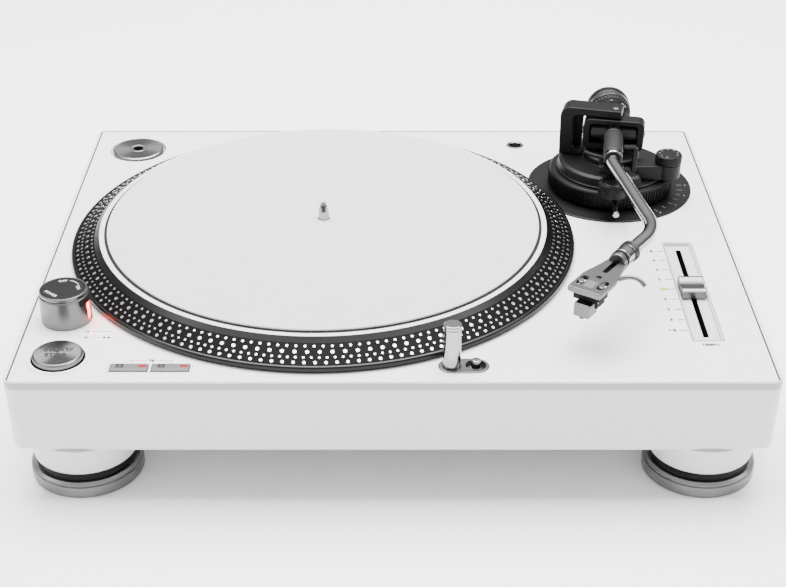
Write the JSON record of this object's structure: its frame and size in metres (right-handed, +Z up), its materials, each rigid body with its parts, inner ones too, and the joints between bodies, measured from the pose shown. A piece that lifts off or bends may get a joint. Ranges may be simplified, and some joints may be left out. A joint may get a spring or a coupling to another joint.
{
  "type": "turntable record player",
  "caption": "Direct-drive turntable with a dotted platter, S-shaped arm, counterweight, tempo fader and round levelling feet.",
  "frame": {"origin": "on the floor under the middle of the cabinet", "axes": "+X to the right, +Y to the rear, +Z up, seen from the front edge"},
  "size_m": [0.45, 0.352, 0.1429],
  "materials": {
    "white_shell": "smooth satin white",
    "base_paint": "satin white paint",
    "black_plastic": "satin black",
    "chrome": "polished",
    "silver_metal": "turned and satin",
    "steel": "plain",
    "copper_coils": "wound coils on a steel core",
    "circuit_board": "solder mask",
    "red_window": "clear red",
    "grey_key": "satin grey",
    "dark_metal": "dark satin",
    "platter_metal": "turned, with a dotted black band",
    "mat_felt": "fine weave"
  },
  "bodies": {
    "deck": {"cabinet": "white_shell", "base_cover": "base_paint", "foot_front_left_housing": "white_shell", "foot_rear_left_housing": "white_shell", "foot_front_right_housing": "white_shell", "foot_rear_right_housing": "white_shell", "motor_stator": "copper_coils", "bearing_housing": "steel", "power_supply": "steel", "main_board": "circuit_board", "rear_panel": "black_plastic", "phono_jacks": "silver_metal", "ground_terminal": "chrome", "power_inlet": "black_plastic", "strobe_housing": "silver_metal", "strobe_window": "red_window", "start_stop_bezel": "white_shell", "speed_bezel": "white_shell", "target_escutcheon": "silver_metal", "fader_panel": "white_shell", "fader_body": "steel", "headshell_socket": "chrome", "arm_base_plate": "black_plastic"},
    "foot_front_left": {"foot_front_left_ring": "chrome"},
    "foot_rear_left": {"foot_rear_left_ring": "chrome"},
    "foot_front_right": {"foot_front_right_ring": "chrome"},
    "foot_rear_right": {"foot_rear_right_ring": "chrome"},
    "platter": {"platter": "platter_metal", "spindle": "chrome", "rotor_magnet": "steel"},
    "mat": {"slipmat": "mat_felt"},
    "power_knob": {"power_knob": "black_plastic"},
    "start_stop": {"start_stop_button": "silver_metal"},
    "key_33": {"button_33": "grey_key"},
    "key_45": {"button_45": "grey_key"},
    "target_light": {"target_light": "chrome"},
    "release": {"release_button": "chrome"},
    "fader": {"fader_cap": "silver_metal"},
    "adapter": {"adapter_45": "silver_metal"},
    "height_ring": {"height_ring": "black_plastic"},
    "arm_base": {"arm_base": "black_plastic", "yoke": "black_plastic", "arm_rest": "black_plastic", "antiskate_bracket": "black_plastic"},
    "arm_clip": {"arm_clip": "black_plastic"},
    "antiskate_knob": {"antiskate_knob": "black_plastic"},
    "cue_lever": {"cue_lever": "chrome"},
    "cue_lift": {"cue_lift": "black_plastic"},
    "height_lock": {"height_lock": "black_plastic"},
    "gimbal": {"gimbal_ring": "black_plastic"},
    "arm": {"arm_holder": "dark_metal", "arm_tube": "chrome", "headshell": "silver_metal", "finger_lift": "silver_metal", "cartridge": "silver_metal", "stylus": "black_plastic"},
    "arm_collar": {"arm_collar": "silver_metal"},
    "weight_sleeve": {"weight_sleeve": "steel"},
    "counterweight": {"counterweight": "dark_metal"},
    "weight_dial": {"weight_dial": "black_plastic"}
  },
  "joints": [
    {"name": "platter_spin", "type": "hinge", "parent": "deck", "child": "platter", "pos_m": [-0.0458, -0.0021, 0.0854], "axis": [0, 0, 1], "continuous": true},
    {"name": "mat_slip", "type": "hinge", "parent": "platter", "child": "mat", "pos_m": [-0.0458, -0.0021, 0.1], "axis": [0, 0, 1], "continuous": true},
    {"name": "foot_front_left_turn", "type": "hinge", "parent": "deck", "child": "foot_front_left", "pos_m": [-0.19, -0.14, 0], "axis": [0, 0, 1], "range_deg": [-360, 360]},
    {"name": "foot_rear_left_turn", "type": "hinge", "parent": "deck", "child": "foot_rear_left", "pos_m": [-0.19, 0.14, 0], "axis": [0, 0, 1], "range_deg": [-360, 360]},
    {"name": "foot_front_right_turn", "type": "hinge", "parent": "deck", "child": "foot_front_right", "pos_m": [0.19, -0.14, 0], "axis": [0, 0, 1], "range_deg": [-360, 360]},
    {"name": "foot_rear_right_turn", "type": "hinge", "parent": "deck", "child": "foot_rear_right", "pos_m": [0.19, 0.14, 0], "axis": [0, 0, 1], "range_deg": [-360, 360]},
    {"name": "power_turn", "type": "hinge", "parent": "deck", "child": "power_knob", "pos_m": [-0.1992, -0.105, 0.0854], "axis": [0, 0, 1], "range_deg": [0, 60]},
    {"name": "start_stop_press", "type": "slide", "parent": "deck", "child": "start_stop", "axis": [0, 0, -1], "range_m": [0, 0.0015], "stiffness_N_per_m": 300, "springref_m": -0.002},
    {"name": "key_33_press", "type": "slide", "parent": "deck", "child": "key_33", "axis": [0, 0, -1], "range_m": [0, 0.001], "stiffness_N_per_m": 300, "springref_m": -0.002},
    {"name": "key_45_press", "type": "slide", "parent": "deck", "child": "key_45", "axis": [0, 0, -1], "range_m": [0, 0.001], "stiffness_N_per_m": 300, "springref_m": -0.002},
    {"name": "target_light_drop", "type": "slide", "parent": "deck", "child": "target_light", "axis": [0, 0, -1], "range_m": [0, 0.028], "stiffness_N_per_m": 60, "springref_m": -0.01},
    {"name": "release_press", "type": "slide", "parent": "deck", "child": "release", "axis": [0, 0, -1], "range_m": [0, 0.002], "stiffness_N_per_m": 300, "springref_m": -0.002},
    {"name": "tempo_slide", "type": "slide", "parent": "deck", "child": "fader", "axis": [0, 1, 0], "range_m": [-0.05, 0.05]},
    {"name": "adapter_lift", "type": "slide", "parent": "deck", "child": "adapter", "axis": [0, 0, 1], "range_m": [0, 0.03]},
    {"name": "height_turn", "type": "hinge", "parent": "deck", "child": "height_ring", "pos_m": [0.1538, 0.0791, 0.0854], "axis": [0, 0, 1], "range_deg": [0, 150]},
    {"name": "arm_base_lift", "type": "slide", "parent": "deck", "child": "arm_base", "axis": [0, 0, 1], "range_m": [0, 0.006]},
    {"name": "arm_swing", "type": "hinge", "parent": "arm_base", "child": "gimbal", "pos_m": [0.1538, 0.0791, 0.1264], "axis": [0, 0, -1], "range_deg": [0, 43]},
    {"name": "arm_tilt", "type": "hinge", "parent": "gimbal", "child": "arm", "pos_m": [0.1538, 0.0791, 0.1264], "axis": [-0.9816, 0.1908, 0], "range_deg": [-1.4, 12]},
    {"name": "clip_close", "type": "hinge", "parent": "arm_base", "child": "arm_clip", "pos_m": [0.1633, 0.0395, 0.1169], "axis": [0, -1, 0], "range_deg": [0, 10]},
    {"name": "antiskate_turn", "type": "hinge", "parent": "arm_base", "child": "antiskate_knob", "pos_m": [0.1905, 0.061, 0.1154], "axis": [0, 0, 1], "range_deg": [0, 300]},
    {"name": "cue_lower", "type": "hinge", "parent": "arm_base", "child": "cue_lever", "pos_m": [0.1505, 0.03, 0.099], "axis": [1, 0, 0], "range_deg": [0, 20]},
    {"name": "cue_lift_drop", "type": "slide", "parent": "arm_base", "child": "cue_lift", "axis": [0, 0, -1], "range_m": [0, 0.006]},
    {"name": "lock_turn", "type": "hinge", "parent": "deck", "child": "height_lock", "pos_m": [0.16674, 0.1274, 0.0924], "axis": [0, 0, 1], "range_deg": [0, 35]},
    {"name": "collar_turn", "type": "hinge", "parent": "arm", "child": "arm_collar", "pos_m": [0.1398, -0.099, 0.1264], "axis": [-0.5621, -0.8271, 0], "range_deg": [0, 25]},
    {"name": "sleeve_slide", "type": "slide", "parent": "arm", "child": "weight_sleeve", "axis": [0.0175, 0.9998, 0], "range_m": [-0.00175, 0.0035]},
    {"name": "weight_turn", "type": "hinge", "parent": "weight_sleeve", "child": "counterweight", "pos_m": [0.15439, 0.1131, 0.1264], "axis": [0.0175, 0.9998, 0], "range_deg": [-180, 360]},
    {"name": "dial_turn", "type": "hinge", "parent": "weight_sleeve", "child": "weight_dial", "pos_m": [0.15439, 0.1131, 0.1264], "axis": [0.0175, 0.9998, 0], "range_deg": [-180, 180]}
  ],
  "couplings": [
    {"joint": "height_turn", "follows": "arm_base_lift", "rad_per_m": 436},
    {"joint": "cue_lower", "follows": "cue_lift_drop", "rad_per_m": 58.1},
    {"joint": "weight_turn", "follows": "sleeve_slide", "rad_per_m": 1795}
  ]
}
